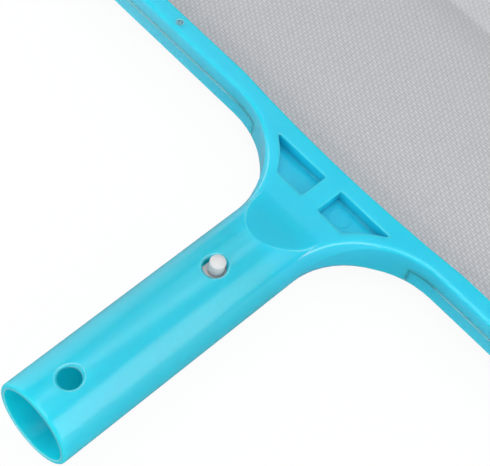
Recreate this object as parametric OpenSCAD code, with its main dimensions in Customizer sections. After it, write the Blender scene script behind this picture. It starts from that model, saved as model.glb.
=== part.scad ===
// Leaf skimmer net: a one-piece moulded socket, hub and upper frame, a lower
// clamp ring staked to it, a flat net held between the two by its hem, and a
// two-legged spring clip in the socket whose buttons lock a pole.
//
// Origin: centre of the socket's mouth. +X runs up the socket towards the
// leading edge, +Z out of the face with the hub's pockets. Millimetres.

/* [Socket] */
// Outside diameter of the socket that the pole slides over
socket_d = 29; // [27:0.5:32]
// Wall thickness of the socket
socket_wall = 1.7; // [1.5:0.1:2.2]
// Radius of the rounding on the rim of the mouth
rim_round = 0.9; // [0.3:0.1:1.2]
// Distance from the mouth to the first pair of cross holes
spare_hole_x = 13.6; // [11:0.2:30]
// Distance between the two pairs of cross holes
hole_pitch = 58; // [50:1:60]
// Diameter of the cross holes
hole_d = 7.6; // [7.2:0.1:8.4]
// Width of the bevel round each cross hole
hole_bevel = 0.9; // [0.3:0.1:1.1]

/* [Hub] */
// Distance from the mouth to the point where the ramp starts
ramp_x = 88; // [86:1:92]
// Distance from the mouth to the end of the socket's hollow
hollow_x = 106.5; // [104:0.5:108]
// Slope of the ramp from the socket down to the web, in degrees
ramp_angle = 27; // [24:1:32]
// Radius of the blend between the ramp and the web
ramp_blend = 18; // [8:1:24]
// Radius of the fillets from the socket out to the arms
hub_fillet = 31.5; // [26:0.5:34]
// Distance from the mouth to the outer side of the straight arms
arm_x = 127.3; // [124:0.1:136]
// Depth of each pocket in the web
pocket_depth = 5; // [3:0.1:6.2]
// Width of the rib between the two pockets
pocket_rib = 6.8; // [4:0.2:12]
// Length of the pockets along the socket's axis
pocket_len = 11.3; // [8:0.1:14]
// Thickness of the wall between a pocket and the hub's fillet, at its thickest
pocket_wall = 5.4; // [3.6:0.1:6.4]
// How far that wall's inner curve is centred towards the mouth from the fillet's
pocket_lean = 1.2; // [0:0.1:2]
// Thickness of the wall between the pockets and the clamp ring
pocket_front = 1.6; // [1.2:0.1:3]
// Radius of the pockets' blunt corners
pocket_round = 1; // [0.5:0.1:1.5]

/* [Frame] */
// Overall height of the frame's section
frame_h = 14.4; // [12:0.2:18]
// Width of the frame's bar
bar_w = 6.7; // [6.2:0.1:9]
// Overall width of the frame
frame_w = 430; // [340:5:480]
// Clear depth of the frame's opening, from the straight arms to the front bar
open_depth = 268; // [220:1:320]
// Inside radius of the two corners next to the arms
back_corner_r = 62; // [50:1:75]
// Inside radius of the two corners at the leading edge
front_corner_r = 38; // [30:1:50]
// How far the back bar bows towards the socket in its middle
bow = 2.2; // [1:0.1:3]
// Half the length of the bowed stretch of the back bar
bow_half = 50; // [50:1:58]
// Radius of the rounding along the frame's outer edges
outer_round = 1; // [0.4:0.1:1.2]
// Radius of the rounding along the frame's inner edges
inner_round = 0.8; // [0.4:0.1:1.2]
// Reach of the scraper lip beyond the front bar
lip_reach = 8; // [4:0.5:12]
// Thickness of the lip at its edge
lip_t = 2.4; // [1.6:0.2:3]

/* [Joint between the mouldings] */
// Height of the slot that takes the net's hem
slot_h = 1.5; // [1.3:0.1:2]
// Depth of that slot from the frame's inner side
slot_depth = 5.2; // [4.6:0.1:5.4]
// Distance from the centre line at which ring and hub part on the fillets
part_y = 36; // [32:1:38]
// Gap between the ring and the hub
part_gap = 0.1; // [0.05:0.01:0.2]
// Depth of the small groove along the joint line
seam_groove = 0.25; // [0:0.05:0.4]
// Diameter of the stake pins that hold the two mouldings together
pin_d = 2; // [1.6:0.1:2.4]
// Diametral clearance of the stake pins in their holes
pin_gap = 0.1; // [0.06:0.01:0.16]
// Distance of the first stake pins from the centre line
first_pin_y = 78.4; // [70:0.2:90]
// Depth of the dimple over each stake pin
pin_dimple = 0.15; // [0.05:0.05:0.4]

/* [Net] */
// Thickness of the net
net_t = 0.6; // [0.4:0.1:0.8]
// Width of each strand of the net
strand_w = 1.6; // [1:0.1:3]
// Rows of gaps from the back bar to the front bar
net_rows = 14; // [8:1:14]
// Columns of gaps across the frame
net_cols = 21; // [12:1:21]
// Thickness of each fold of the hem
hem_t = 0.3; // [0.2:0.05:0.3]

/* [Spring clip] */
// Thickness of the clip's legs
leg_t = 1.5; // [1.2:0.1:1.8]
// Width of the clip's legs
leg_w = 7; // [6:0.5:7.5]
// Gap between a leg's edges and the socket's bore
leg_gap = 0.35; // [0.3:0.05:0.6]
// Sideways play that the clip has taken up in the bore
clip_shift = -0.4; // [-0.7:0.1:0.7]
// Diameter of the buttons
button_d = 5.1; // [4.8:0.1:5.5]
// Height of the buttons above the socket
button_proud = 3.2; // [2.5:0.1:3.6]
// How far the buttons sit towards the hub in their holes
button_lead = 0.5; // [0.2:0.1:0.7]
// Radius of each button's dome
dome_r = 4.2; // [3.2:0.1:6]
// Length of a leg from the button's centre to its free end
leg_tail = 7.5; // [5:0.5:10]
// Inside radius of the clip's bend
bend_r = 2.4; // [2:0.1:3]
// Radial clearance of the legs' round ends in the bend
knuckle_gap = 0.05; // [0.03:0.01:0.1]

/* [Hidden] */
$fn = 96;
past = 5; // how far cutters run past the faces they open

PLASTIC = [0.20, 0.76, 0.88];
NYLON = [0.93, 0.93, 0.94];
MESH = [0.74, 0.75, 0.76];

// socket and hub
socket_r = socket_d / 2;
bore_r = socket_r - socket_wall;
hole_r = hole_d / 2;
button_hole_x = spare_hole_x + hole_pitch;
half_h = frame_h / 2;
ramp_end_x = ramp_x + (socket_r - half_h) / tan(ramp_angle);
blend_x = ramp_end_x + ramp_blend * tan(ramp_angle / 2);
fillet_x = arm_x - hub_fillet;
fillet_y = socket_r + hub_fillet;
pocket_c = [fillet_x - pocket_lean, fillet_y];
lead_in = 3.5; // how far the socket's round side is carried on into the flanks
nose_half_w = 5.7;
clip_seat = 0.3; // gap between the clip's bend and the end of the hollow
nose_h = bend_r + leg_t + clip_seat;

// frame
back_x = arm_x + bar_w;
front_x = back_x + open_depth;
side_y = frame_w / 2 - bar_w;
back_c = [back_x + back_corner_r, side_y - back_corner_r];
front_c = [front_x - front_corner_r, side_y - front_corner_r];
pin_u = bar_w / 2;
bow_r = (bow * bow + bow_half * bow_half) / (2 * bow);
bow_x = back_x - bow + bow_r;

// net and hem, as distances outward from the frame's inner side
hem_in = 0.8;
hem_out = slot_depth - 0.2;
net_out = hem_out - 2 * hem_t;
net_band = 1.5;

// spring clip
leg_y = leg_w / 2 + abs(clip_shift);
leg_top = floor(20 * sqrt(pow(bore_r - leg_gap, 2) - leg_y * leg_y)) / 20;
button_x = button_hole_x + button_lead;
button_top = socket_r + button_proud;
bend_x = hollow_x - bend_r - leg_t - clip_seat;
hinge_x = bend_x - 2.5;
hinge_z = bend_r + leg_t / 2;
knee_x = button_x + 7;
pad_z = leg_top - leg_t / 2;
shank_r = 1.4;

// ---------------------------------------------------------------- outlines

// The frame's clear opening, grown outward by u, as a flat slab of height h
module opening_slab(u, h) {
    corner_y = back_c[1] - 1;
    translate([0, 0, -h / 2]) {
        translate([back_x - u, -back_c[1], 0])
            cube([open_depth + 2 * u - front_corner_r, 2 * back_c[1], h]);
        translate([back_c[0], -side_y - u, 0])
            cube([front_c[0] - back_c[0], 2 * (side_y + u), h]);
        translate([back_c[0], -front_c[1], 0])
            cube([front_x + u - back_c[0], 2 * front_c[1], h]);
        for (side = [-1, 1]) {
            translate([back_c[0], side * back_c[1], 0])
                cylinder(r = back_corner_r + u, h = h);
            translate([front_c[0], side * front_c[1], 0])
                cylinder(r = front_corner_r + u, h = h);
        }
        intersection() {
            translate([bow_x, 0, 0])
                cylinder(r = bow_r + u, h = h, $fn = 720);
            translate([back_x - bow - u - 1, -corner_y, 0])
                cube([3 * past, 2 * corner_y, h]);
        }
    }
}

// What a rounding of radius r takes off the corner at p, where d points inwards
module edge_cut(p, d, r) {
    difference() {
        translate(p + d * (r / 2 - 0.1))
            square(r + 0.2, center = true);
        translate(p + d * r)
            circle(r = r, $fn = 48);
    }
}

// Section of the bar: x outward from the frame's inner side, y upward
module bar_section() {
    difference() {
        translate([0, -half_h])
            square([bar_w, frame_h]);
        for (v = [-1, 1]) {
            edge_cut([0, v * half_h], [1, -v], inner_round);
            edge_cut([bar_w, v * half_h], [-1, -v], outer_round);
        }
        translate([bar_w, 0])
            rotate(45)
                square(seam_groove * sqrt(2), center = true);
    }
}

// Section of the scraper lip, from the middle of the front bar outwards
module lip_section() {
    tip_r = lip_t / 2;
    tip_u = bar_w / 2 + lip_reach - tip_r;
    root_u = bar_w / 2 - outer_round;
    polygon([
        [0, half_h],
        [root_u, half_h],
        [tip_u, tip_r - 0.02],
        [tip_u, 0.02 - tip_r],
        [root_u, -half_h],
        [0, -half_h]
    ]);
    translate([tip_u, 0])
        circle(r = tip_r, $fn = 48);
}

// ------------------------------------------------------------------- frame

// The bar's section along a straight run from p: outward is at angle a, and
// the run goes a quarter turn clockwise from there
module straight_bar(p, a, len) {
    translate(p)
        rotate([0, 0, a])
            rotate([90, 0, 0])
                linear_extrude(len)
                    bar_section();
}

// The bar's section turned a quarter about c, from angle a
module corner_bar(c, r, a) {
    translate(c)
        rotate([0, 0, a])
            rotate_extrude(angle = 90, $fn = 180)
                translate([r, 0])
                    bar_section();
}

// The scraper lip along the front bar, rounded off in plan at both ends
module lip() {
    translate([front_x + bar_w / 2, 0, 0]) {
        translate([0, front_c[1], 0])
            rotate([90, 0, 0])
                linear_extrude(2 * front_c[1])
                    lip_section();
        for (side = [0, 1])
            mirror([0, side, 0])
                translate([0, front_c[1], 0])
                    rotate_extrude(angle = 90)
                        lip_section();
    }
}

// Takes the bow out of the back bar, with its edges rounded like the bar's
module bow_cut() {
    translate([bow_x, 0, 0]) {
        translate([0, 0, -half_h - 1])
            cylinder(r = bow_r, h = frame_h + 2, $fn = 720);
        rotate_extrude($fn = 720)
            for (v = [-1, 1])
                edge_cut([bow_r, v * half_h], [1, -v], inner_round);
    }
}

// The frame's loop but for the arms next to the hub
module loop() {
    straight_bar([front_x, front_c[1]], 0, 2 * front_c[1]);
    for (side = [0, 1])
        mirror([0, side, 0]) {
            corner_bar(back_c, back_corner_r, 90);
            straight_bar([back_c[0], side_y], 90, front_c[0] - back_c[0]);
            corner_bar(front_c, front_corner_r, 0);
        }
    lip();
}

// ---------------------------------------------------------------- hub forms

// Plan of the flat web from the socket to the net, between the straight arms
module web_outline() {
    difference() {
        translate([fillet_x, -fillet_y])
            square([hub_fillet + bar_w, 2 * fillet_y]);
        for (side = [-1, 1])
            translate([fillet_x, side * fillet_y])
                circle(r = hub_fillet, $fn = 180);
    }
}

// Rounds the web's edges along one fillet, and carries the socket's round side
// on into its flank, turned about an axis nearer to the socket
module flank_cut() {
    turn_r = fillet_y - lead_in;
    translate([fillet_x, fillet_y, 0])
        rotate_extrude($fn = 180)
            for (v = [-1, 1])
                edge_cut([hub_fillet, v * half_h], [1, -v], outer_round);
    translate([fillet_x, turn_r, 0])
        rotate_extrude($fn = 180)
            difference() {
                translate([turn_r / 2, -half_h - 1])
                    square([turn_r / 2, frame_h + 2]);
                translate([turn_r, 0])
                    circle(r = socket_r);
            }
}

// The web and the straight arms on both sides of it, which carry the back of
// the net
module web() {
    difference() {
        union() {
            difference() {
                translate([0, 0, -half_h])
                    linear_extrude(frame_h)
                        web_outline();
                for (side = [0, 1])
                    mirror([0, side, 0])
                        flank_cut();
            }
            for (side = [0, 1])
                mirror([0, side, 0])
                    straight_bar([back_x, fillet_y], 180, back_c[1] - fillet_y);
        }
        bow_cut();
    }
}

// Everything above the ramp, its blend and the web
module ramp_cut() {
    high = half_h + ramp_blend;
    run = ramp_blend * tan(ramp_angle / 2);
    width = 2 * socket_r + 2;
    rotate([90, 0, 0])
        translate([0, 0, -width / 2]) {
            linear_extrude(width)
                polygon([
                    [ramp_end_x - ramp_blend / tan(ramp_angle), high],
                    [ramp_end_x - run * cos(ramp_angle), half_h + run * sin(ramp_angle)],
                    [blend_x, high]
                ]);
            translate([blend_x, high, 0])
                cylinder(r = ramp_blend, h = width);
            translate([blend_x, half_h, 0])
                cube([arm_x - blend_x, ramp_blend, width]);
        }
}

// Plan of one pocket: a right corner at the rib and a curved outer side
module pocket_outline() {
    x1 = arm_x - pocket_front;
    x0 = x1 - pocket_len;
    y0 = pocket_rib / 2;
    side_r = hub_fillet + pocket_wall;
    tip_round = pocket_round / 2;
    difference() {
        translate([x0, y0])
            square([pocket_len, hub_fillet * 0.75]);
        translate(pocket_c)
            circle(r = side_r, $fn = 180);
        edge_cut([x0, y0], [1, 1], pocket_round);
        edge_cut([x1, y0], [-1, 1], tip_round);
        curved_corner(x0, 1, side_r, pocket_round);
        curved_corner(x1, -1, side_r, tip_round);
    }
}

// What a rounding of radius r leaves where a pocket's side at x meets its
// curved side of radius side_r
module curved_corner(x, d, side_r, r) {
    reach = side_r + r - 0.01;
    c = [x + d * r, curve_y(x + d * r, reach)];
    away = (c - pocket_c) / reach;
    touch = c - away * (r + 0.05);
    difference() {
        polygon([
            c,
            [x - d * 0.05, c[1]],
            [x - d * 0.05, curve_y(x, side_r) + 0.2],
            touch
        ]);
        translate(c)
            circle(r = r, $fn = 48);
    }
}

// Height y of a circle of radius r about pocket_c, below it, at x
function curve_y(x, r) = pocket_c[1] - sqrt(r * r - pow(x - pocket_c[0], 2));

module pockets() {
    for (face = [0, 1], side = [0, 1])
        mirror([0, side, 0])
            mirror([0, 0, face])
                translate([0, 0, half_h - pocket_depth])
                    linear_extrude(pocket_depth + past)
                        pocket_outline();
}

// The hollow of the socket: a round bore, and beyond it a wedge that follows
// the clip's legs down to its bend
module socket_hollow() {
    bore_x = ramp_x - 1.5;
    slope = (pad_z - hinge_z) / (hinge_x - knee_x);
    wedge_z = hinge_z + (leg_t / 2 + leg_gap) * sqrt(1 + slope * slope);
    deep_x = hinge_x - (nose_h - wedge_z) / slope;
    start_x = deep_x - (bore_r - nose_h) / slope;
    translate([-past, 0, 0])
        rotate([0, 90, 0])
            cylinder(r = bore_r, h = bore_x + past);
    intersection() {
        translate([start_x - 1, 0, 0])
            rotate([0, 90, 0])
                cylinder(r = bore_r, h = hollow_x);
        rotate([90, 0, 0])
            translate([0, 0, -nose_half_w])
                linear_extrude(2 * nose_half_w)
                    polygon([
                        [start_x, bore_r],
                        [deep_x, nose_h],
                        [hollow_x, nose_h],
                        [hollow_x, -nose_h],
                        [deep_x, -nose_h],
                        [start_x, -bore_r]
                    ]);
    }
}

// A pair of cross holes through both walls, with bevelled edges outside
module cross_holes(x) {
    translate([x, 0, -socket_r - past])
        cylinder(r = hole_r, h = 2 * (socket_r + past));
    for (face = [0, 1])
        mirror([0, 0, face])
            translate([x, 0, socket_r - hole_bevel - 0.1])
                cylinder(r1 = hole_r, r2 = hole_r + hole_bevel + 0.4,
                         h = hole_bevel + 0.4);
}

module socket() {
    rotate([0, 90, 0])
        rotate_extrude()
            difference() {
                square([socket_r, blend_x]);
                edge_cut([socket_r, 0], [-1, 1], rim_round);
            }
}

// ----------------------------------------------------------- frame mouldings

// The form that the upper moulding and the clamp ring are both cut from
module frame_form() {
    loop();
    web();
}

// Space below the joint line that the clamp ring fills, with a gap all round
module ring_space(gap) {
    deep = half_h + past;
    far = frame_w;
    translate([arm_x - gap, -far / 2 - past, -deep])
        cube([far, far + 2 * past, deep]);
    for (side = [0, 1])
        mirror([0, side, 0])
            translate([fillet_x - past, part_y - gap, -deep])
                cube([far, far, deep]);
}

function pin_places() = concat(
    [for (k = [0, 1])
        [back_x - pin_u, first_pin_y + k * 56]],
    [for (k = [0, 1, 2])
        [back_c[0] + k * (front_c[0] - back_c[0]) / 2, side_y + pin_u]],
    [for (k = [1, 2])
        [front_x + pin_u, k * front_c[1] / 2.5]]
);

// A hole or a pin at every stake, on both sides and on the centre line in front
module at_pins() {
    for (side = [0, 1])
        mirror([0, side, 0])
            for (p = pin_places())
                translate(p)
                    children();
    translate([front_x + pin_u, 0, 0])
        children();
}

module frame_body() {
    color(PLASTIC)
        difference() {
            union() {
                frame_form();
                socket();
            }
            for (face = [0, 1])
                mirror([0, 0, face])
                    ramp_cut();
            ring_space(part_gap);
            opening_slab(slot_depth, slot_h);
            pockets();
            socket_hollow();
            cross_holes(spare_hole_x);
            cross_holes(button_hole_x);
            at_pins()
                cylinder(d = pin_d + pin_gap, h = half_h + past, $fn = 24);
        }
}

module clamp_ring() {
    color(PLASTIC) {
        difference() {
            intersection() {
                frame_form();
                ring_space(0);
            }
            opening_slab(slot_depth, slot_h);
        }
        at_pins()
            translate([0, 0, -slot_h / 2 - 1])
                cylinder(d = pin_d, h = half_h - pin_dimple + slot_h / 2 + 1, $fn = 24);
    }
}

// ------------------------------------------------------------------------ net

// The net's gaps, as blocks that run past its faces and its edge
module gaps() {
    step_x = (open_depth + strand_w) / net_rows;
    step_y = (2 * side_y + strand_w) / net_cols;
    for (row = [0 : net_rows - 1], col = [0 : net_cols - 1])
        translate([back_x + row * step_x, col * step_y - side_y, -net_t])
            cube([step_x - strand_w, step_y - strand_w, 2 * net_t]);
}

module net_mesh() {
    color(MESH)
        difference() {
            opening_slab(net_out, net_t);
            intersection() {
                gaps();
                opening_slab(net_band, 4 * net_t);
            }
            stake_clearance();
        }
}

module net_hem() {
    color(MESH)
        difference() {
            opening_slab(hem_out, net_t + 2 * hem_t);
            opening_slab(hem_in, net_t + 2);
            opening_slab(net_out, net_t);
            stake_clearance();
        }
}

// Holes in the net and its hem where the stake pins pass
module stake_clearance() {
    at_pins()
        translate([0, 0, -slot_h])
            cylinder(d = pin_d + 0.6, h = 2 * slot_h, $fn = 24);
}

// ---------------------------------------------------------------- spring clip

// A strip of the clip: a side view extruded to the legs' width
module strip() {
    translate([0, clip_shift + leg_w / 2, 0])
        rotate([90, 0, 0])
            linear_extrude(leg_w)
                children();
}

// One straight piece of a leg from a to b, in side view, with square ends
module leg_run(a, b, t) {
    d = (b - a) / norm(b - a);
    n = [-d[1], d[0]] * t / 2;
    strip()
        polygon([a + n, b + n, b - n, a - n]);
}

module clip_bend() {
    color(NYLON)
        strip()
            difference() {
                union() {
                    difference() {
                        translate([bend_x, 0])
                            circle(r = bend_r + leg_t);
                        translate([bend_x, 0])
                            circle(r = bend_r);
                        translate([bend_x - 10, -10])
                            square([10, 20]);
                    }
                    for (v = [-1, 1])
                        translate([hinge_x, v * hinge_z - leg_t / 2])
                            square([bend_x - hinge_x, leg_t]);
                }
                for (v = [-1, 1])
                    translate([hinge_x, v * hinge_z])
                        circle(r = leg_t / 2 + knuckle_gap, $fn = 48);
            }
}

// One leg: a flat pad under the button, a knee, and a round end in the bend
module clip_leg() {
    strip_t = leg_t - 0.04;
    tail = [button_x - leg_tail, pad_z];
    knee = [knee_x, pad_z];
    root = [hinge_x, hinge_z];
    difference() {
        union() {
            leg_run(tail, knee, strip_t);
            leg_run(knee, root, strip_t);
            for (end = [knee, root])
                strip()
                    translate(end)
                        circle(d = leg_t, $fn = 48);
        }
        translate([button_x, clip_shift, 0])
            cylinder(r = shank_r + 0.05, h = socket_r);
        for (side = [-1, 1])
            translate([tail[0], clip_shift + side * leg_w / 2, pad_z])
                rotate([0, 0, 45])
                    cube([2.4, 2.4, 2 * leg_t], center = true);
    }
}

// One button: a domed stud with its shank headed over under the leg
module button() {
    strip_top = leg_top - 0.02;
    foot = leg_top - leg_t + 0.02;
    head_r = 2.3;
    head_t = 0.8;
    translate([button_x, clip_shift, 0])
        rotate_extrude() {
            intersection() {
                translate([0, strip_top])
                    square([button_d / 2, button_top - strip_top]);
                translate([0, button_top - dome_r])
                    circle(r = dome_r);
            }
            translate([0, strip_top])
                square([button_d / 2, 2.2]);
            translate([0, foot - head_t / 2])
                square([shank_r, leg_t + head_t / 2]);
            translate([0, foot - head_t])
                square([head_r, head_t]);
        }
}

module clip_leg_upper() {
    color(NYLON)
        clip_leg();
}

module clip_leg_lower() {
    color(NYLON)
        mirror([0, 0, 1])
            clip_leg();
}

module button_upper() {
    color(NYLON)
        button();
}

module button_lower() {
    color(NYLON)
        mirror([0, 0, 1])
            button();
}

frame_body();
clamp_ring();
net_mesh();
net_hem();
clip_bend();
clip_leg_upper();
clip_leg_lower();
button_upper();
button_lower();
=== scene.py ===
"""Finishes, woven net, hem, light and camera of the leaf skimmer net."""

import logging
import math
from dataclasses import dataclass
from enum import Enum

import bmesh
import bpy
from mathutils import Matrix, Vector, noise

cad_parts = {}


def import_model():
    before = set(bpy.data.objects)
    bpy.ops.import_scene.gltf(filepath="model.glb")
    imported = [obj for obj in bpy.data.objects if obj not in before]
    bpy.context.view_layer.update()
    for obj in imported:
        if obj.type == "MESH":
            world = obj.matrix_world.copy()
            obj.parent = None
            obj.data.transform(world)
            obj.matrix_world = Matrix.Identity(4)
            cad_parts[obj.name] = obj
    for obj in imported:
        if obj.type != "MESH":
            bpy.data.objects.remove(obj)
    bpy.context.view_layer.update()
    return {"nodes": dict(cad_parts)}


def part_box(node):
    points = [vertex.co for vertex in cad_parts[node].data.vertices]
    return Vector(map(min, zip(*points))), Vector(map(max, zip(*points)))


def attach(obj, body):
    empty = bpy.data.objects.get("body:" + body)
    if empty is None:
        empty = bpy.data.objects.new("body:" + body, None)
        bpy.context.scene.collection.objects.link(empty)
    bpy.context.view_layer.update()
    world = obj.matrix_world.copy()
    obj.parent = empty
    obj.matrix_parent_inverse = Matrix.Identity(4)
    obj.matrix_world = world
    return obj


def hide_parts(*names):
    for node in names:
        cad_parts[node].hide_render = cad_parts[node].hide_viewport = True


Rgb = tuple[float, float, float]
Spot = tuple[float, float, float]
Pair = tuple[float, float]
Socket = bpy.types.NodeSocket

LOG = logging.getLogger("skimmer")
MM = 0.001
NOISE_MIDDLE = 0.5
WHITE = (1.0, 1.0, 1.0, 1.0)
ALONG = Vector((1, 0, 0))
ACROSS = Vector((0, 1, 0))
CREASE = 217.5  # millimetres from the socket's mouth to the fold across the net


class Body(Enum):
    """The bodies that new pieces ride on."""

    SKIMMER = "skimmer"


class Slot(Enum):
    """The material slots that the finishes belong to."""

    FRAME = "frame_plastic"
    NET = "net_fabric"
    CLIP = "clip_nylon"


class Weave(Enum):
    """How closely a fabric is woven."""

    OPEN = "open"
    DOUBLED = "doubled"


@dataclass(frozen=True)
class Step:
    """A smooth step from one result to another.

    Attributes:
        low: The value at which it begins.
        high: The value at which it ends.
        start: The result below it.
        end: The result above it.
    """

    low: float
    high: float
    start: float = 0.0
    end: float = 1.0


@dataclass(frozen=True)
class Grain:
    """Cloudy noise.

    Attributes:
        scale: Clouds to a metre.
        detail: How many finer layers it has.
        roughness: How strong those are.
    """

    scale: float
    detail: float = 3.0
    roughness: float = 0.5


@dataclass(frozen=True)
class Relief:
    """How a height shows as a bump.

    Attributes:
        strength: How strongly it shows.
        distance: The height of 1, in metres.
    """

    strength: float
    distance: float


class Graph:
    """A material's node tree, with short calls for its nodes and sums."""

    def __init__(self, name: str) -> None:
        """Makes an empty material with an output.

        Args:
            name: The material's name.
        """
        self.material = bpy.data.materials.new(name)
        self.material.use_nodes = True
        self.tree = self.material.node_tree
        self.tree.nodes.clear()
        self.output = self.tree.nodes.new("ShaderNodeOutputMaterial")

    def add(self, kind: str, **settings: object) -> bpy.types.Node:
        """Adds a node.

        Args:
            kind: The node's type name.
            **settings: Its properties, or the values of its inputs.

        Returns:
            The new node.
        """
        node = self.tree.nodes.new(kind)
        for name, value in settings.items():
            if hasattr(node, name) and name not in node.inputs:
                setattr(node, name, value)
            else:
                node.inputs[name.replace("_", " ")].default_value = value
        return node

    def link(self, start: Socket, end: Socket) -> None:
        """Joins an output to an input."""
        self.tree.links.new(start, end)

    def maths(self, operation: str, *values: float | Socket, clamp: bool = False) -> Socket:
        """Adds a sum of one to three values.

        Args:
            operation: The Math node's operation.
            *values: Numbers, or outputs to link.
            clamp: Whether the result stays between 0 and 1.

        Returns:
            The result's output.
        """
        node = self.tree.nodes.new("ShaderNodeMath")
        node.operation, node.use_clamp = operation, clamp
        for place, value in enumerate(values):
            if isinstance(value, Socket):
                self.link(value, node.inputs[place])
            else:
                node.inputs[place].default_value = float(value)
        return node.outputs[0]

    def ramp(self, value: Socket, step: Step) -> Socket:
        """Turns a value into a smooth step.

        Args:
            value: The output that is read.
            step: Where the step lies, and its results.

        Returns:
            The step's output.
        """
        node = self.tree.nodes.new("ShaderNodeMapRange")
        node.interpolation_type = "SMOOTHSTEP"
        self.link(value, node.inputs["Value"])
        node.inputs["From Min"].default_value = step.low
        node.inputs["From Max"].default_value = step.high
        node.inputs["To Min"].default_value = step.start
        node.inputs["To Max"].default_value = step.end
        return node.outputs["Result"]

    def blend(self, share: Socket, first: Rgb | Socket, second: Rgb | Socket) -> Socket:
        """Mixes two colours.

        Args:
            share: How much of the second colour shows.
            first: A colour or an output.
            second: A colour or an output.

        Returns:
            The mixed colour's output.
        """
        node = self.tree.nodes.new("ShaderNodeMix")
        node.data_type = "RGBA"
        colours = [s for s in node.inputs if s.type == "RGBA"]
        factor = next(s for s in node.inputs if s.enabled and s.type == "VALUE")
        self.link(share, factor)
        for socket, colour in zip(colours, (first, second)):
            if isinstance(colour, Socket):
                self.link(colour, socket)
            else:
                socket.default_value = (*colour, 1.0)
        return next(s for s in node.outputs if s.type == "RGBA")

    def places(self) -> tuple[Socket, ...]:
        """Adds the object's coordinates.

        Returns:
            Their vector, and x, y and z by themselves.
        """
        spot = self.add("ShaderNodeTexCoord").outputs["Object"]
        parts = self.add("ShaderNodeSeparateXYZ")
        self.link(spot, parts.inputs[0])
        return (spot, *parts.outputs)

    def distance(self, x: Socket, y: Socket, centre: Pair) -> Socket:
        """Measures how far a point is from a centre, seen from above.

        Args:
            x: The coordinate along the socket.
            y: The coordinate across it.
            centre: The centre, in millimetres.

        Returns:
            The distance's output, in metres.
        """
        along = self.maths("SUBTRACT", x, centre[0] * MM)
        aside = self.maths("SUBTRACT", y, centre[1] * MM)
        squares = self.maths("ADD", self.maths("MULTIPLY", along, along),
                             self.maths("MULTIPLY", aside, aside))
        return self.maths("SQRT", squares)

    def grain(self, spot: Socket, grain: Grain) -> Socket:
        """Adds cloudy noise.

        Args:
            spot: The coordinates that it follows.
            grain: Its size and detail.

        Returns:
            The noise's value.
        """
        node = self.add("ShaderNodeTexNoise", Scale=grain.scale, Detail=grain.detail,
                        Roughness=grain.roughness)
        self.link(spot, node.inputs["Vector"])
        return node.outputs[0]

    def bump(self, height: Socket, relief: Relief, under: Socket | None = None) -> Socket:
        """Turns a height into a normal.

        Args:
            height: The height's output, from 0 to 1.
            relief: How it shows.
            under: The normal that it is laid on, or None for the surface's own.

        Returns:
            The normal's output.
        """
        node = self.add("ShaderNodeBump", Strength=relief.strength, Distance=relief.distance)
        self.link(height, node.inputs["Height"])
        if under is not None:
            self.link(under, node.inputs["Normal"])
        return node.outputs["Normal"]

    def surface(self, **settings: object) -> bpy.types.Node:
        """Adds the Principled shader and joins it to the output.

        Args:
            **settings: The values of its inputs.

        Returns:
            The shader's node.
        """
        node = self.add("ShaderNodeBsdfPrincipled")
        for name, value in settings.items():
            node.inputs[name.replace("_", " ")].default_value = value
        self.link(node.outputs[0], self.output.inputs["Surface"])
        return node


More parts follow.
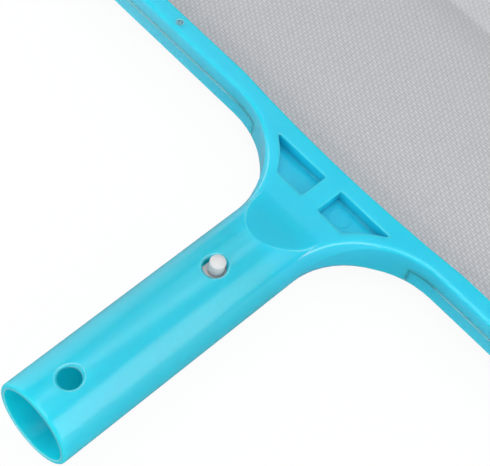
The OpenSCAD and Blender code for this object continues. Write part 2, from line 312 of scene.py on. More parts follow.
@dataclass(frozen=True)
class MouldedPlastic:
    """Glossy coloured plastic as it leaves a polished mould.

    Attributes:
        name: The material's name.
        colour: The plastic's own colour.
        pale: The colour of its flow marks.
        painted_light_tint: The pale tint painted on its edges as a highlight, and into the seam
            as light.
        index: Its refractive index.
        depth: How far light soaks into it, in metres.
        scatter: That depth's share for red, green and blue.
        flow: The flow marks' clouds.
        flow_share: How much those show.
        polish: The clouds in which its gloss changes.
        gloss: The least and most roughness, by those clouds.
        skin: The clouds of its uneven skin.
        skin_relief: How that skin shows.
        edge_radius: How wide a sharp edge is softened, in metres.
        edge_samples: How finely that is worked out.
        edge_highlight_turn: How strongly an edge gets the painted highlight, by the cosine of
            its turn.
        raised: The height from which edges get the painted highlight on the hub.
        socket_end: Where the socket ends, whose edges get the painted highlight at any height.
        arms: How far from the middle line the arms begin, whose edges get it too.
        fillet: The middle of the hub's fillet beside the socket, in millimetres.
        pocket_side: How far from there the edges round the pockets begin, which get less painted
            highlight.
        pocket_start: Where they begin along the socket.
        pocket_end: How far from the middle line they end.
        spared: The share by which their painted highlight is weaker.
        seam: The painted light in the seam between the mouldings, which lifts the shade of its
            slot, by height.
        seam_start: How far from the middle line that seam begins.
        pin: The first stake pin's place on the back bar, in millimetres.
        pin_highlight: The painted highlight on that pin's end, by the distance from its middle.
        mark_centre: The middle of the plain ejector ring in the right pocket, in millimetres.
        mark_radius: That ring's radius, in metres.
        mark_line: How wide its line is.
        mark_floor: The height below which it shows.
        mark_relief: How it shows.
    """

    name: str = "moulded_plastic"
    colour: Rgb = (0.011, 0.535, 0.715)
    pale: Rgb = (0.02, 0.555, 0.735)
    painted_light_tint: Rgb = (0.46, 0.75, 0.83)
    index: float = 1.49
    depth: float = 0.0075
    scatter: Rgb = (0.35, 1.0, 0.85)
    flow: Grain = Grain(14.0, detail=2.0)
    flow_share: Step = Step(0.42, 0.68, end=0.35)
    polish: Grain = Grain(95.0, detail=4.0, roughness=0.6)
    gloss: Step = Step(0.3, 0.75, start=0.19, end=0.26)
    skin: Grain = Grain(160.0, detail=1.0)
    skin_relief: Relief = Relief(0.12, 0.00006)
    edge_radius: float = 0.0011
    edge_samples: int = 6
    edge_highlight_turn: Step = Step(0.88, 0.97, start=0.55, end=0.0)
    raised: Step = Step(0.0045, 0.006)
    socket_end: Step = Step(0.1, 0.105, start=1.0, end=0.0)
    arms: Step = Step(0.046, 0.052)
    fillet: Pair = (95.8, 46.0)
    pocket_side: Step = Step(0.034, 0.0355)
    pocket_start: Step = Step(0.1, 0.106)
    pocket_end: Step = Step(0.04, 0.046, start=1.0, end=0.0)
    spared: float = 0.8
    seam: Step = Step(0.0003, 0.0005, start=0.35, end=0.0)
    seam_start: Step = Step(0.044, 0.048)
    pin: Pair = (130.65, 78.4)
    pin_highlight: Step = Step(0.0011, 0.0015, start=0.25, end=0.0)
    mark_centre: Pair = (120.9, -9.1)
    mark_radius: float = 0.0037
    mark_line: Step = Step(0.0001, 0.0003, start=1.0, end=0.0)
    mark_floor: Step = Step(0.003, 0.005, start=1.0, end=0.0)
    mark_relief: Relief = Relief(0.8, 0.00015)

    def make(self) -> bpy.types.Material:
        """Builds the material.

        Returns:
            The finished material.
        """
        g = Graph(self.name)
        spot, x, y, z = g.places()
        shader = g.surface(IOR=self.index, Subsurface_Weight=1.0, Subsurface_Scale=self.depth,
                           Subsurface_Radius=self.scatter)
        edge = g.add("ShaderNodeBevel", samples=self.edge_samples, Radius=self.edge_radius)
        softened = edge.outputs["Normal"]
        clouds = g.ramp(g.grain(spot, self.flow), self.flow_share)
        plain = g.blend(clouds, self.colour, self.pale)
        # Painted highlight on the edges and painted light in the seam, mixed into the base
        # colour.
        rim = g.maths("MAXIMUM", self.highlit_edges(g, x, y, z, softened), self.lit_seam_and_pins(g, x, y, z))
        g.link(g.blend(rim, plain, self.painted_light_tint), shader.inputs["Base Color"])
        g.link(g.ramp(g.grain(spot, self.polish), self.gloss), shader.inputs["Roughness"])
        skin = g.bump(g.grain(spot, self.skin), self.skin_relief, softened)
        marked = g.bump(self.ring(g, x, y, z), self.mark_relief, skin)
        g.link(marked, shader.inputs["Normal"])
        return g.material

    def highlit_edges(self, g: Graph, x: Socket, y: Socket, z: Socket, softened: Socket) -> Socket:
        """Finds the open edges, which get a painted highlight: a pale tint that stands in for
        the light on their rounding.

        Args:
            g: The material's graph.
            x: The coordinate along the socket.
            y: The coordinate across it.
            z: The height.
            softened: The normal with its edges softened.

        Returns:
            How much painted highlight the plastic gets.
        """
        turn = g.add("ShaderNodeVectorMath", operation="DOT_PRODUCT")
        g.link(softened, turn.inputs[0])
        g.link(g.add("ShaderNodeNewGeometry").outputs["Normal"], turn.inputs[1])
        # Painted highlight: pale where the softened normal turns away from the true one.
        edge = g.ramp(turn.outputs["Value"], self.edge_highlight_turn)
        side = g.maths("ABSOLUTE", y)
        raised = g.ramp(g.maths("ABSOLUTE", z), self.raised)
        open_ends = g.maths("MAXIMUM", g.ramp(x, self.socket_end), g.ramp(side, self.arms))
        outside = g.maths("MAXIMUM", raised, open_ends)
        beyond = g.ramp(g.distance(x, side, self.fillet), self.pocket_side)
        hub = g.maths("MULTIPLY", g.ramp(x, self.pocket_start), g.ramp(side, self.pocket_end))
        pockets = g.maths("MULTIPLY", beyond, hub)
        kept = g.maths("MULTIPLY_ADD", pockets, -self.spared, 1.0)
        return g.maths("MULTIPLY", g.maths("MULTIPLY", edge, outside), kept)

    def lit_seam_and_pins(self, g: Graph, x: Socket, y: Socket, z: Socket) -> Socket:
        """Finds the seam between the mouldings, painted lighter to lift the shade of its slot,
        and the first stake pins, whose ends get a painted highlight.

        Args:
            g: The material's graph.
            x: The coordinate along the socket.
            y: The coordinate across it.
            z: The height.

        Returns:
            How much painted light the plastic gets there.
        """
        side = g.maths("ABSOLUTE", y)
        # Painted light that lifts the shade in the seam's slot.
        lips = g.ramp(g.maths("ABSOLUTE", z), self.seam)
        seam = g.maths("MULTIPLY", lips, g.ramp(side, self.seam_start))
        # Painted highlight on the first stake pins' ends.
        return g.maths("MAXIMUM", seam, g.ramp(g.distance(x, side, self.pin), self.pin_highlight))

    def ring(self, g: Graph, x: Socket, y: Socket, z: Socket) -> Socket:
        """The height of the plain ring that an ejector pin leaves.

        Args:
            g: The material's graph.
            x: The coordinate along the socket.
            y: The coordinate across it.
            z: The height.

        Returns:
            1 on the ring and 0 elsewhere.
        """
        inside = g.maths("SUBTRACT", g.distance(x, y, self.mark_centre), self.mark_radius)
        line = g.ramp(g.maths("ABSOLUTE", inside), self.mark_line)
        return g.maths("MULTIPLY", line, g.ramp(z, self.mark_floor))


@dataclass(frozen=True)
class Nylon:
    """Off-white nylon of the pole clip, slightly waxy.

    Attributes:
        name: The material's name.
        colour: The nylon's own colour.
        stain: The colour of its stains.
        index: Its refractive index.
        milkiness: How much of its light comes from inside.
        depth: How far light soaks into it, in metres.
        scatter: That depth's share for red, green and blue.
        stains: The stains' clouds.
        stain_share: How much those show.
        wax: The clouds in which its gloss changes.
        gloss: The least and most roughness.
        skin: The clouds of its uneven skin.
        skin_relief: How that skin shows.
    """

    name: str = "clip_nylon"
    colour: Rgb = (0.6, 0.6, 0.605)
    stain: Rgb = (0.55, 0.545, 0.545)
    index: float = 1.53
    milkiness: float = 0.7
    depth: float = 0.004
    scatter: Rgb = (0.9, 1.0, 1.0)
    stains: Grain = Grain(260.0, detail=4.0)
    stain_share: Step = Step(0.4, 0.75, end=0.5)
    wax: Grain = Grain(500.0)
    gloss: Step = Step(0.3, 0.7, start=0.36, end=0.5)
    skin: Grain = Grain(1500.0)
    skin_relief: Relief = Relief(0.15, 0.00004)

    def make(self) -> bpy.types.Material:
        """Builds the material.

        Returns:
            The finished material.
        """
        g = Graph(self.name)
        spot, *_ = g.places()
        shader = g.surface(IOR=self.index, Subsurface_Weight=self.milkiness,
                           Subsurface_Scale=self.depth, Subsurface_Radius=self.scatter)
        clouds = g.ramp(g.grain(spot, self.stains), self.stain_share)
        g.link(g.blend(clouds, self.colour, self.stain), shader.inputs["Base Color"])
        g.link(g.ramp(g.grain(spot, self.wax), self.gloss), shader.inputs["Roughness"])
        g.link(g.bump(g.grain(spot, self.skin), self.skin_relief), shader.inputs["Normal"])
        return g.material


@dataclass(frozen=True)
class NetFabric:
    """Fine grey mesh of round threads in plain weave.

    Attributes:
        name: The material's name.
        weave: Whether it is one layer or a doubled one.
        pitch: Thread spacing along the socket and across it, in millimetres.
        width: The share of each spacing that a thread takes.
        colour: The painted lit top of a thread.
        shade: The painted shade on a thread's side, where it dips under the next, and before the
            fold.
        fold_lit: The painted light on the cloth beyond the fold.
        roughness: How matt a thread is.
        index: Its refractive index.
        sheen: How strongly its fluff shows.
        drift: The clouds in which the threads wander.
        drift_reach: How far they wander, in thread spacings.
        crossing: The share of its height that a thread dips and climbs.
        fibre: The clouds of its loose fibres.
        fibre_gain: How strongly those show.
        fibre_base: How light a thread is without them.
        height_light: The painted light on a thread by its height.
        cross_light: How much darker the threads that run along the socket are painted where they
            lie on top, as shade.
        round_light: The painted shade in the gaps between those.
        relief: How the weave shows as a bump.
        hole: The thread height below which light passes.
        filled: How much of its holes a second layer covers.
        crease: The fold's place along the socket, in millimetres.
        fold_shade: The painted shade on the cloth before the fold, by the distance from it in
            metres.
        fold_edge: Where that painted shade ends.
        fold_light: How much painted light it gets beyond.
    """

    name: str
    weave: Weave
    pitch: Pair = (1.02, 1.5)
    width: Pair = (0.92, 0.8)
    colour: Rgb = (0.515, 0.52, 0.545)
    shade: Rgb = (0.295, 0.3, 0.315)
    fold_lit: Rgb = (0.8, 0.81, 0.84)
    roughness: float = 0.55
    index: float = 1.5
    sheen: float = 0.15
    drift: Grain = Grain(60.0, roughness=0.7)
    drift_reach: float = 1.2
    crossing: float = 0.4
    fibre: Grain = Grain(800.0, roughness=0.7)
    fibre_gain: float = 1.4
    fibre_base: float = 0.3
    height_light: Step = Step(0.0, 0.9, start=0.3)
    cross_light: Step = Step(-0.3, 0.3, start=0.62)
    round_light: Step = Step(0.0, 0.8, start=0.8)
    relief: Relief = Relief(0.6, 0.00015)
    hole: float = 0.02
    filled: float = 0.8
    crease: float = CREASE
    fold_shade: Step = Step(-0.016, -0.001, end=0.3)
    fold_edge: Step = Step(-0.001, 0.001, start=1.0, end=0.0)
    fold_light: Step = Step(-0.001, 0.0015, end=0.12)

    def make(self) -> bpy.types.Material:
        """Builds the material.

        Returns:
            The finished material.
        """
        g = Graph(self.name)
        spot, x, y, _ = g.places()
        shader = g.surface(Roughness=self.roughness, IOR=self.index, Sheen_Weight=self.sheen)
        wander = g.maths("SUBTRACT", g.grain(spot, self.drift), NOISE_MIDDLE)
        across_threads, angle_x = self.thread(g, x, wander, self.pitch[0], self.width[0])
        along_threads, angle_y = self.thread(g, y, wander, self.pitch[1], self.width[1])
        over = g.maths("COSINE", g.maths("SUBTRACT", angle_x, angle_y))
        level = 1.0 - self.crossing
        climb = g.maths("MULTIPLY_ADD", over, self.crossing, level)
        dip = g.maths("MULTIPLY_ADD", over, -self.crossing, level)
        lift_across = g.maths("MULTIPLY", across_threads, climb)
        lift_along = g.maths("MULTIPLY", along_threads, dip)
        height = g.maths("MAXIMUM", lift_across, lift_along)
        strands = g.maths("MULTIPLY_ADD", g.grain(spot, self.fibre), self.fibre_gain,
                          self.fibre_base)
        # Painted light and shade of the weave: each thread lit by its height, darker where it
        # lies along the socket on top and in the gaps.
        lit = g.maths("MULTIPLY", g.ramp(height, self.height_light), strands, clamp=True)
        lead = g.maths("SUBTRACT", lift_across, lift_along)
        lit = g.maths("MULTIPLY", lit, g.ramp(lead, self.cross_light))
        lit = g.maths("MULTIPLY", lit, g.ramp(along_threads, self.round_light))
        threads = g.blend(lit, self.shade, self.colour)
        g.link(self.folded(g, x, threads), shader.inputs["Base Color"])
        g.link(g.bump(height, self.relief), shader.inputs["Normal"])
        thread = g.maths("MAXIMUM", across_threads, along_threads)
        covered = g.maths("GREATER_THAN", thread, self.hole)
        if self.weave is Weave.DOUBLED:
            covered = g.maths("MAXIMUM", covered, self.filled)
        behind = g.add("ShaderNodeNewGeometry").outputs["Backfacing"]
        front = g.maths("SUBTRACT", 1.0, behind)
        g.link(g.maths("MULTIPLY", covered, front), shader.inputs["Alpha"])
        return g.material

    def thread(self, g: Graph, across: Socket, wander: Socket, pitch: float,
               width: float) -> tuple[Socket, Socket]:
        """The round section of parallel threads.

        Args:
            g: The material's graph.
            across: The coordinate across the threads.
            wander: How the threads wander, around 0.
            pitch: Their spacing, in millimetres.
            width: The share of the spacing that a thread takes.

        Returns:
            The section's height from 0 to 1, and the angle that grows by half a turn to each
            thread.
        """
        turns = g.maths("MULTIPLY_ADD", wander, self.drift_reach,
                        g.maths("DIVIDE", across, pitch * MM))
        angle = g.maths("MULTIPLY", turns, math.pi)
        beside = g.maths("ABSOLUTE", g.maths("SINE", angle))
        share = g.maths("DIVIDE", beside, math.sin(width * math.pi / 2))
        left = g.maths("SUBTRACT", 1.0, g.maths("MULTIPLY", share, share), clamp=True)
        return g.maths("SQRT", left), angle

    def folded(self, g: Graph, x: Socket, threads: Socket) -> Socket:
        """Paints shade on the threads before the fold that packing left across the net, and
        light beyond it.

        Args:
            g: The material's graph.
            x: The coordinate along the socket.
            threads: The threads' colour.

        Returns:
            The colour with the fold's painted shade and light in it.
        """
        off = g.maths("SUBTRACT", x, self.crease * MM)
        # Painted shade before the fold.
        dark = g.maths("MULTIPLY", g.ramp(off, self.fold_shade), g.ramp(off, self.fold_edge))
        shaded = g.blend(dark, threads, self.shade)
        # Painted light beyond the fold.
        return g.blend(g.ramp(off, self.fold_light), shaded, self.fold_lit)


@dataclass(frozen=True)
class FloorPaint:
    """Plain white floor that shows as white and keeps soft shadows, and glows in the plastic's
    gloss as a painted reflection.

    Attributes:
        name: The material's name.
        colour: The paint's own colour.
        dimmed: The share of it that its duller clouds keep.
        clouds: Those clouds.
        cloud_share: How much they show.
        glow: How much of what is seen of it is its own white.
        reflected_glow: The painted reflection: how brightly it glows where the plastic mirrors
            it, by the distance from the middle line, dim near that line as painted shadow.
    """

    name: str = "floor_paint"
    colour: Rgb = (0.82, 0.82, 0.82)
    dimmed: float = 0.99
    clouds: Grain = Grain(3.0)
    cloud_share: Step = Step(0.3, 0.7)
    glow: float = 0.94
    reflected_glow: Step = Step(0.012, 0.11, start=0.22, end=1.1)

    def make(self) -> bpy.types.Material:
        """Builds the material.

        Returns:
            The finished material.
        """
        g = Graph(self.name)
        spot, _, y, _ = g.places()
        paint = g.add("ShaderNodeBsdfDiffuse")
        tone = g.ramp(g.grain(spot, self.clouds), self.cloud_share)
        dull = tuple(c * self.dimmed for c in self.colour)
        g.link(g.blend(tone, self.colour, dull), paint.inputs["Color"])
        white = g.add("ShaderNodeEmission")
        path = g.add("ShaderNodeLightPath").outputs
        bright = g.maths("MAXIMUM", path["Is Camera Ray"], path["Is Transmission Ray"])
        # Painted reflection: the plastic's gloss sees the floor glow, dimmer near the middle
        # line as painted shadow.
        reflected_glow = g.ramp(g.maths("ABSOLUTE", y), self.reflected_glow)
        unseen = g.maths("SUBTRACT", 1.0, bright)
        g.link(g.maths("MULTIPLY_ADD", unseen, reflected_glow, bright), white.inputs["Strength"])
        seen = g.maths("MAXIMUM", bright, path["Is Glossy Ray"])
        mix = g.add("ShaderNodeMixShader")
        g.link(g.maths("MULTIPLY", seen, self.glow), mix.inputs[0])
        g.link(paint.outputs[0], mix.inputs[1])
        g.link(white.outputs[0], mix.inputs[2])
        g.link(mix.outputs[0], g.output.inputs["Surface"])
        return g.material


def dress(piece: bpy.types.Object, finish: bpy.types.Material) -> None:
    """Gives every face of a piece one finish.

    Args:
        piece: The piece.
        finish: Its material.
    """
    if piece.material_slots:
        for place in piece.material_slots:
            place.material = finish
    else:
        piece.data.materials.append(finish)
    LOG.info("%s wears %s", piece.name, finish.name)


def facing(back: Vector, up: Vector) -> Matrix:
    """Finds how a lamp or a camera is turned.

    Args:
        back: The direction away from what it faces.
        up: The direction that its top leans to.

    Returns:
        Its turn, as a matrix.
    """
    back = back.normalized()
    side = up.cross(back).normalized()
    return Matrix((side, back.cross(side), back)).transposed().to_4x4()


def build_object(name: str, shape: bmesh.types.BMesh, smooth: bool = True) -> bpy.types.Object:
    """Turns a bmesh into an object at the origin.

    Args:
        name: The object's name.
        shape: Its mesh, which is freed.
        smooth: Whether its faces are shaded smooth.

    Returns:
        The new object.
    """
    mesh = bpy.data.meshes.new(name)
    shape.to_mesh(mesh)
    shape.free()
    for face in mesh.polygons:
        face.use_smooth = smooth
    piece = bpy.data.objects.new(name, mesh)
    bpy.context.scene.collection.objects.link(piece)
    return piece


def thicken(piece: bpy.types.Object, thickness: float) -> None:
    """Gives a sheet its thickness, half on either side.

    Args:
        piece: The sheet.
        thickness: Its thickness, in millimetres.
    """
    wall = piece.modifiers.new("thickness", "SOLIDIFY")
    wall.thickness, wall.offset = thickness * MM, 0
    with bpy.context.temp_override(object=piece, active_object=piece, selected_objects=[piece]):
        bpy.ops.object.modifier_apply(modifier=wall.name)


@dataclass
class Opening:
    """The frame's opening, with the bow of its back bar, in millimetres.

    Attributes:
        back: The back edge's place along the socket.
        depth: From there to the front edge.
        half: Half its width.
        back_round: The radius of the back corners.
        front_round: The radius of the front corners.
        bow: How far the back edge's middle stands towards the socket.
        bow_half: Half the length of that stretch.
        corner_steps: The straight pieces in a corner.
        bow_cuts: The cuts in the back edge that follow its bow.
        near: How close to the back edge a point counts as on it, in metres.
    """

    back: float = 134.0
    depth: float = 268.0
    half: float = 208.3
    back_round: float = 62.0
    front_round: float = 38.0
    bow: float = 2.2
    bow_half: float = 50.0
    corner_steps: int = 16
    bow_cuts: int = 64
    near: float = 1e-6

    def outline(self, out: float) -> bmesh.types.BMesh:
        """The opening's outline, grown outwards, as one flat face.

        Args:
            out: How far it is grown, in millimetres.

        Returns:
            A bmesh with that face at height 0.
        """
        shape = bmesh.new()
        middle = self.centre() * MM
        size = ((self.depth + 2 * out) * MM, 2 * (self.half + out) * MM, 1)
        bmesh.ops.create_grid(shape, x_segments=1, y_segments=1, size=0.5)
        bmesh.ops.scale(shape, verts=shape.verts, vec=size)
        bmesh.ops.translate(shape, verts=shape.verts, vec=(middle, 0, 0))
        for far, radius in ((False, self.back_round), (True, self.front_round)):
            sharp = [v for v in shape.verts if (v.co.x > middle) is far
                     and abs(v.co.y) > self.half * MM and len(v.link_edges) == 2]
            bmesh.ops.bevel(shape, geom=sharp, offset=(radius + out) * MM, offset_type="OFFSET",
                            segments=self.corner_steps, profile=0.5, affect="VERTICES",
                            material=-1)
        low = (self.back - out) * MM
        rear = [e for e in shape.edges if all(abs(v.co.x - low) < self.near for v in e.verts)]
        bmesh.ops.subdivide_edges(shape, edges=rear, cuts=self.bow_cuts)
        for vert in shape.verts:
            if abs(vert.co.x - low) < self.near:
                vert.co.x -= self.bowed(vert.co.y / MM) * MM
        return shape

    def bowed(self, y: float) -> float:
        """How far the back edge stands towards the socket at y, in millimetres."""
        share = min(abs(y) / self.bow_half, 1.0)
        return self.bow * (1 - share * share)

    def centre(self) -> float:
        """Its middle's place along the socket, in millimetres."""
        return self.back + self.depth / 2

    def inside(self, spot: Vector) -> float:
        """How far a point lies inside the nearest straight edge, in millimetres."""
        return min(spot.x - self.back, self.back + self.depth - spot.x, self.half - abs(spot.y))

    def area(self, out: float) -> float:
        """The flat area inside its outline, without the bow.

        Args:
            out: How far it is grown, in millimetres.

        Returns:
            The area, in square millimetres.
        """
        whole = (self.depth + 2 * out) * 2 * (self.half + out)
        corners = (self.back_round + out) ** 2 + (self.front_round + out) ** 2
        return whole - (4 - math.pi) / 2 * corners  # two of each radius


@dataclass
class StretchedNet:
    """The net: one flat sheet of woven mesh, held stretched in the frame's slot.

    Attributes:
        opening: The frame's opening.
        tuck: How far it reaches into the slot, in millimetres.
        thick: The fabric's thickness, in millimetres.
        cell: The spacing of its mesh, in millimetres.
        near: How close to a cut a point counts as on it, in metres.
        held: How far from the frame it is pulled flat, in millimetres.
        crease: The fold's place along the socket, in millimetres.
        fold: The height of that fold, in millimetres.
        fold_width: How quickly it falls off, in millimetres.
        dip: How deep the cloth sinks before the fold, in millimetres.
        dip_back: How far before the fold that is, in millimetres.
        dip_width: How wide it is, in millimetres.
        fold_cuts: How many millimetres to either side of the fold are cut finely.
        ripple: How far the cloth wanders from flat, in millimetres.
        ripple_length: How long its waves are, in millimetres.
        ripple_layer: Which layer of the noise they follow.
    """

    opening: Opening
    tuck: float = 4.4
    thick: float = 0.28
    cell: float = 8.0
    near: float = 1e-7
    held: float = 25.0
    crease: float = CREASE
    fold: float = 0.5
    fold_width: float = 2.2
    dip: float = 0.25
    dip_back: float = 6.0
    dip_width: float = 4.5
    fold_cuts: int = 6
    ripple: float = 0.22
    ripple_length: float = 60.0
    ripple_layer: float = 0.3

    def build(self) -> bpy.types.Object:
        """Cuts the sheet, folds and ripples it, and gives it its thickness.

        Returns:
            The net.
        """
        o = self.opening
        shape = o.outline(self.tuck)
        self.cut(shape, ALONG, o.back, o.depth)
        self.cut(shape, ACROSS, -o.half, 2 * o.half)
        for step in range(-self.fold_cuts, self.fold_cuts + 1):
            self.slice(shape, ALONG, self.crease + step)
        for vert in shape.verts:
            vert.co.z = self.height(vert.co / MM) * MM
        net = build_object("stretched_net", shape)
        thicken(net, self.thick)
        return net

    def cut(self, shape: bmesh.types.BMesh, across: Vector, start: float, length: float) -> None:
        """Cuts the sheet into even strips.

        Args:
            shape: The sheet.
            across: The direction in which the strips follow each other.
            start: Where the first begins, in millimetres.
            length: How far they reach, in millimetres.
        """
        count = round(length / self.cell)
        for step in range(1, count):
            self.slice(shape, across, start + length * step / count)

    def slice(self, shape: bmesh.types.BMesh, across: Vector, at: float) -> None:
        """Cuts the sheet along one straight line.

        Args:
            shape: The sheet.
            across: The direction square to the line.
            at: The line's distance from the origin, in millimetres.
        """
        parts = [*shape.verts, *shape.edges, *shape.faces]
        bmesh.ops.bisect_plane(shape, geom=parts, dist=self.near, plane_co=across * at * MM,
                               plane_no=across)

    def height(self, spot: Vector) -> float:
        """The cloth's height at a point, which falls smoothly to 0 at the frame.

        Args:
            spot: The point, in millimetres.

        Returns:
            Its height, in millimetres.
        """
        free = min(max(self.opening.inside(spot) / self.held, 0.0), 1.0)
        free = free * free * (3 - 2 * free)
        off = spot.x - self.crease
        ridge = self.fold * math.exp(-abs(off) / self.fold_width)
        hollow = self.dip * math.exp(-((off + self.dip_back) / self.dip_width) ** 2)
        place = Vector((spot.x / self.ripple_length, spot.y / self.ripple_length,
                        self.ripple_layer))
        return free * (ridge - hollow + self.ripple * noise.noise(place))


@dataclass
class FoldedHem:
    """The net's edge, folded over itself where the frame clamps it.

    Attributes:
        opening: The frame's opening.
        tuck: How far it reaches into the slot, in millimetres.
        shown: How far it stands out of the slot into the opening, in millimetres.
        half: Half its height, in millimetres.
        thick: The thickness of one layer, in millimetres.
        fold_share: The share of that half height by which its fold is rounded.
        fold_steps: The straight pieces in that rounding.
        upright: The most that a wall's normal rises.
        square: The largest cosine between the two faces at a fold.
    """

    opening: Opening
    tuck: float = 4.95
    shown: float = 0.8
    half: float = 0.42
    thick: float = 0.28
    fold_share: float = 0.7
    fold_steps: int = 3
    upright: float = 0.5
    square: float = 0.3

    def build(self) -> bpy.types.Object:
        """Folds a band round the net's edge.

        Returns:
            The hem.
        """
        shape = self.opening.outline(self.tuck)
        self.hollow(shape)
        self.double(shape)
        bmesh.ops.recalc_face_normals(shape, faces=list(shape.faces))
        folds = [e for e in shape.edges if len(e.link_faces) == 2
                 and abs(e.link_faces[0].normal.dot(e.link_faces[1].normal)) < self.square]
        bmesh.ops.bevel(shape, geom=folds, offset=self.fold_share * self.half * MM,
                        offset_type="OFFSET", segments=self.fold_steps, profile=0.5,
                        affect="EDGES", material=-1)
        hem = build_object("folded_hem", shape)
        thicken(hem, self.thick)
        return hem

    def hollow(self, shape: bmesh.types.BMesh) -> None:
        """Leaves only a band of the sheet round its edge.

        Args:
            shape: The sheet, as one flat face.
        """
        rim = set(shape.verts)
        bmesh.ops.inset_region(shape, faces=list(shape.faces), use_even_offset=True,
                               thickness=(self.tuck + self.shown) * MM)
        inner = [f for f in shape.faces if not any(v in rim for v in f.verts)]
        bmesh.ops.delete(shape, geom=inner, context="FACES")

    def double(self, shape: bmesh.types.BMesh) -> None:
        """Lays the band over itself, open towards the net.

        Args:
            shape: The band.
        """
        bmesh.ops.translate(shape, verts=shape.verts, vec=(0, 0, -self.half * MM))
        raised = bmesh.ops.extrude_face_region(shape, geom=list(shape.faces), use_keep_orig=True)
        top = [v for v in raised["geom"] if isinstance(v, bmesh.types.BMVert)]
        bmesh.ops.translate(shape, verts=top, vec=(0, 0, 2 * self.half * MM))
        walls = [f for f in shape.faces if abs(f.normal.z) < self.upright]
        middle = Vector((self.opening.centre() * MM, 0, 0))
        inward = [f for f in walls if (f.calc_center_median() - middle).dot(f.normal) < 0]
        bmesh.ops.delete(shape, geom=inward, context="FACES_ONLY")


@dataclass
class NetAssembly:
    """The net with its hem.

    Attributes:
        opening: The frame's opening.
    """

    opening: Opening

    def build(self) -> None:
        sheet = StretchedNet(self.opening)
        net, hem = sheet.build(), FoldedHem(self.opening).build()
        dress(net, NetFabric("net_mesh_fabric", Weave.OPEN).make())
        dress(hem, NetFabric("hem_fabric", Weave.DOUBLED).make())
        for piece, node in ((net, "net_mesh"), (hem, "net_hem")):
            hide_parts(node)
            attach(piece, Body.SKIMMER.value)
        o = self.opening
        o.area(sheet.tuck) * MM * MM


@dataclass
class MouldedFrame:
    """The upper moulding with its socket and hub, and the ring clamped below it.

    Attributes:
        nodes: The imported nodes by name.
        members: The names of its own.
    """

    nodes: dict[str, bpy.types.Object]
    members: tuple[str, ...] = ("frame_body", "clamp_ring")

    def build(self) -> None:
        """Dresses both mouldings in the same plastic."""
        finish = MouldedPlastic().make()
        for member in self.members:
            dress(self.nodes[member], finish)


@dataclass
class PoleClip:
    """The spring clip with its two buttons.

    Attributes:
        nodes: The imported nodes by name.
        members: The names of its own.
    """

    nodes: dict[str, bpy.types.Object]
    members: tuple[str, ...] = ("clip_bend", "clip_leg_upper", "clip_leg_lower",
                                "button_upper", "button_lower")

    def build(self) -> None:
        """Dresses the clip in nylon."""
        finish = Nylon().make()
        for member in self.members:
            dress(self.nodes[member], finish)


@dataclass(frozen=True)
class Softbox:
    """One area lamp.

    Attributes:
        name: The lamp's name.
        spot: Where it stands, in metres.
        target: What it points at, in metres.
        size: Its width and length, in metres.
        glow: How bright its face is, where 1 is white.
        along: The direction of its length.
    """

    name: str
    spot: Spot
    target: Spot
    size: Pair
    glow: float
    along: Spot = (1, 0, 0)

    def build(self) -> None:
        """Hangs the lamp."""
        data = bpy.data.lights.new(self.name, "AREA")
        data.shape = "RECTANGLE"
        data.size, data.size_y = self.size
        area = self.size[0] * self.size[1]
        data.energy = self.glow * math.pi * area  # a matt face sends out pi times its brightness
        lamp = bpy.data.objects.new(self.name, data)
        turn = facing(Vector(self.spot) - Vector(self.target), Vector(self.along))
        lamp.matrix_world = Matrix.Translation(self.spot) @ turn
        bpy.context.scene.collection.objects.link(lamp)
        LOG.info("lamp %s", self.name)


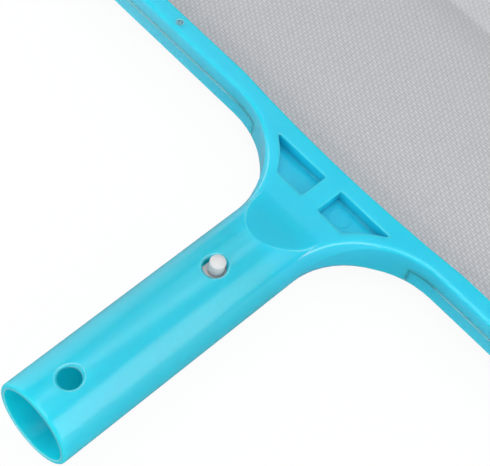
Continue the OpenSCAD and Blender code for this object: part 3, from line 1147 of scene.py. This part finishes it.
@dataclass(frozen=True)
class Studio:
    """Floor, lamps, world and camera.

    Attributes:
        focus: The camera's focal length, in pixels.
        picture: The picture's width, in pixels.
        sensor: The camera's sensor width, in millimetres.
        reach: The least and greatest distance that it sees, in metres.
        camera: Where the camera stands, in millimetres.
        forward: The way that it looks.
        up: The way that its picture's top points.
        sky: How bright the world is.
        aim: What the lamps point at, in metres.
        floor_gap: From the lowest button to the floor, in metres.
        floor_radius: How far the floor reaches, in metres.
        floor_middle: Where along the socket its middle is, in metres.
        floor_sides: The straight pieces in its outline.
    """

    focus: float = 1700.0
    picture: float = 490.0
    sensor: float = 36.0
    reach: Pair = (0.01, 20.0)
    camera: Spot = (-145.1, -148.0, 458.2)
    forward: Spot = (0.4435, 0.2879, -0.8488)
    up: Spot = (0.5423, 0.6678, 0.5099)
    sky: float = 0.35
    aim: Spot = (0.05, 0.0, 0.0)
    floor_gap: float = 0.0002
    floor_radius: float = 4.0
    floor_middle: float = 0.2
    floor_sides: int = 96

    def build(self) -> None:
        """Sets up the whole studio."""
        self.look()
        self.world()
        self.floor()
        for lamp in self.lamps():
            lamp.build()
        bpy.context.scene.view_settings.view_transform = "Standard"

    def look(self) -> None:
        """Places the camera."""
        data = bpy.data.cameras.new("camera")
        data.sensor_fit, data.sensor_width = "HORIZONTAL", self.sensor
        data.lens = self.focus / self.picture * data.sensor_width
        data.clip_start, data.clip_end = self.reach
        camera = bpy.data.objects.new("camera", data)
        turn = facing(-Vector(self.forward), Vector(self.up))
        camera.matrix_world = Matrix.Translation(Vector(self.camera) * MM) @ turn
        bpy.context.scene.collection.objects.link(camera)
        bpy.context.scene.camera = camera

    def world(self) -> None:
        """Lights the scene evenly, with white behind it."""
        world = bpy.data.worlds.new("studio")
        world.use_nodes = True
        tree = world.node_tree
        tree.nodes.clear()
        out = tree.nodes.new("ShaderNodeOutputWorld")
        soft = tree.nodes.new("ShaderNodeBackground")
        soft.inputs["Color"].default_value = WHITE
        soft.inputs["Strength"].default_value = self.sky
        white = tree.nodes.new("ShaderNodeBackground")
        white.inputs["Color"].default_value = WHITE
        path = tree.nodes.new("ShaderNodeLightPath")
        mix = tree.nodes.new("ShaderNodeMixShader")
        tree.links.new(path.outputs["Is Camera Ray"], mix.inputs[0])
        tree.links.new(soft.outputs[0], mix.inputs[1])
        tree.links.new(white.outputs[0], mix.inputs[2])
        tree.links.new(mix.outputs[0], out.inputs["Surface"])
        bpy.context.scene.world = world

    def floor(self) -> None:
        """Lays the floor just below the lowest button."""
        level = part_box("button_lower")[0].z - self.floor_gap
        shape = bmesh.new()
        bmesh.ops.create_circle(shape, cap_ends=True, segments=self.floor_sides,
                                radius=self.floor_radius)
        bmesh.ops.translate(shape, verts=shape.verts, vec=(self.floor_middle, 0, level))
        floor = build_object("floor", shape, smooth=False)
        floor.data.materials.append(FloorPaint().make())

    def lamps(self) -> tuple[Softbox, ...]:
        """The lamps: a slanting strip and two dim boxes ahead, and large boxes around the rest.

        Returns:
            Every lamp, not yet built.
        """
        aim = self.aim
        return (
            Softbox("strip", (0.475, 0.17, 1.0), aim, size=(0.21, 0.6), glow=2.1,
                    along=(1, -1.75, 0)),
            Softbox("right", (0.32, -0.86, 0.37), aim, size=(0.92, 0.4), glow=3.1),
            Softbox("left", (0.14, 0.94, 0.22), aim, size=(0.5, 0.68), glow=1.2),
            Softbox("high", (0.68, 0.74, 0.95), aim, size=(0.66, 0.5), glow=0.9),
            Softbox("fill", (0.46, 0.0, 1.0), aim, size=(1.5, 0.28), glow=0.5),
            Softbox("top", (-0.12, -0.1, 0.97), aim, size=(0.75, 0.7), glow=2.98),
            Softbox("behind", (-0.8, 0.12, 0.5), aim, size=(1.2, 0.5), glow=2.1,
                    along=(0, 0, 1)),
        )


def main() -> None:
    """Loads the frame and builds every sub-assembly in order."""
    logging.basicConfig(level=logging.INFO, format="%(name)s: %(message)s")
    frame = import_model()
    nodes: dict[str, bpy.types.Object] = frame["nodes"]
    Studio().build()
    MouldedFrame(nodes).build()
    PoleClip(nodes).build()
    NetAssembly(Opening()).build()


if __name__ == "__main__":
    main()
